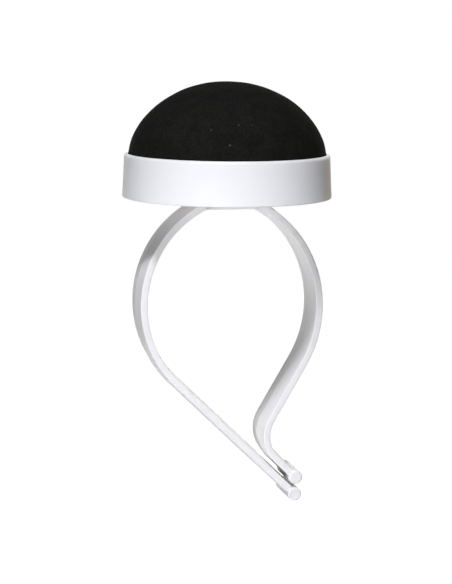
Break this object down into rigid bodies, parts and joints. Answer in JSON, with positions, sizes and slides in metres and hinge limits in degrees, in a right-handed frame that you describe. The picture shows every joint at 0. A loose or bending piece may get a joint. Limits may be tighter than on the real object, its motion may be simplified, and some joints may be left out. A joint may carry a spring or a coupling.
{
  "type": "wrist pin cushion",
  "caption": "Pin cushion worn on the wrist: a velvety dome in a shallow round cup, on a springy moulded band whose two arms open to let the wrist in.",
  "frame": {"origin": "centre of the wrist opening, on the cup's axis", "axes": "+Z from the wrist up to the cushion, Y along the wrist and the width of the band, both tips of the band towards +X and -Z"},
  "size_m": [0.07, 0.07, 0.1426],
  "materials": {
    "cup_plastic": "glossy moulded white plastic, very slightly cool",
    "band_plastic": "satin to glossy moulded white plastic with a parting line",
    "cover_fabric": "black velvety knit with fine ribs and a short pile",
    "fibre_filling": "packed off-white polyester fibre",
    "backing_board": "plain grey-brown pressed board",
    "sewing_thread": "black polyester thread",
    "screw_steel": "zinc-plated steel"
  },
  "bodies": {
    "cushion_and_bridge": {"cup": "cup_plastic", "cushion_cover": "cover_fabric", "cushion_filling": "fibre_filling", "backing_disc": "backing_board", "gathering_thread": "sewing_thread", "band_bridge": "band_plastic", "band_screw": "screw_steel", "screw_washer": "screw_steel"},
    "left_arm": {"left_arm": "band_plastic"},
    "right_arm": {"right_arm": "band_plastic"}
  },
  "joints": [
    {"name": "left_arm_flex", "type": "hinge", "parent": "cushion_and_bridge", "child": "left_arm", "pos_m": [-0.01934, 0, 0.02656], "axis": [0, 1, 0], "range_deg": [0, 20], "stiffness_Nm_per_rad": 0.5},
    {"name": "right_arm_flex", "type": "hinge", "parent": "cushion_and_bridge", "child": "right_arm", "pos_m": [0.01992, 0, 0.02641], "axis": [0, -1, 0], "range_deg": [0, 20], "stiffness_Nm_per_rad": 0.5}
  ]
}
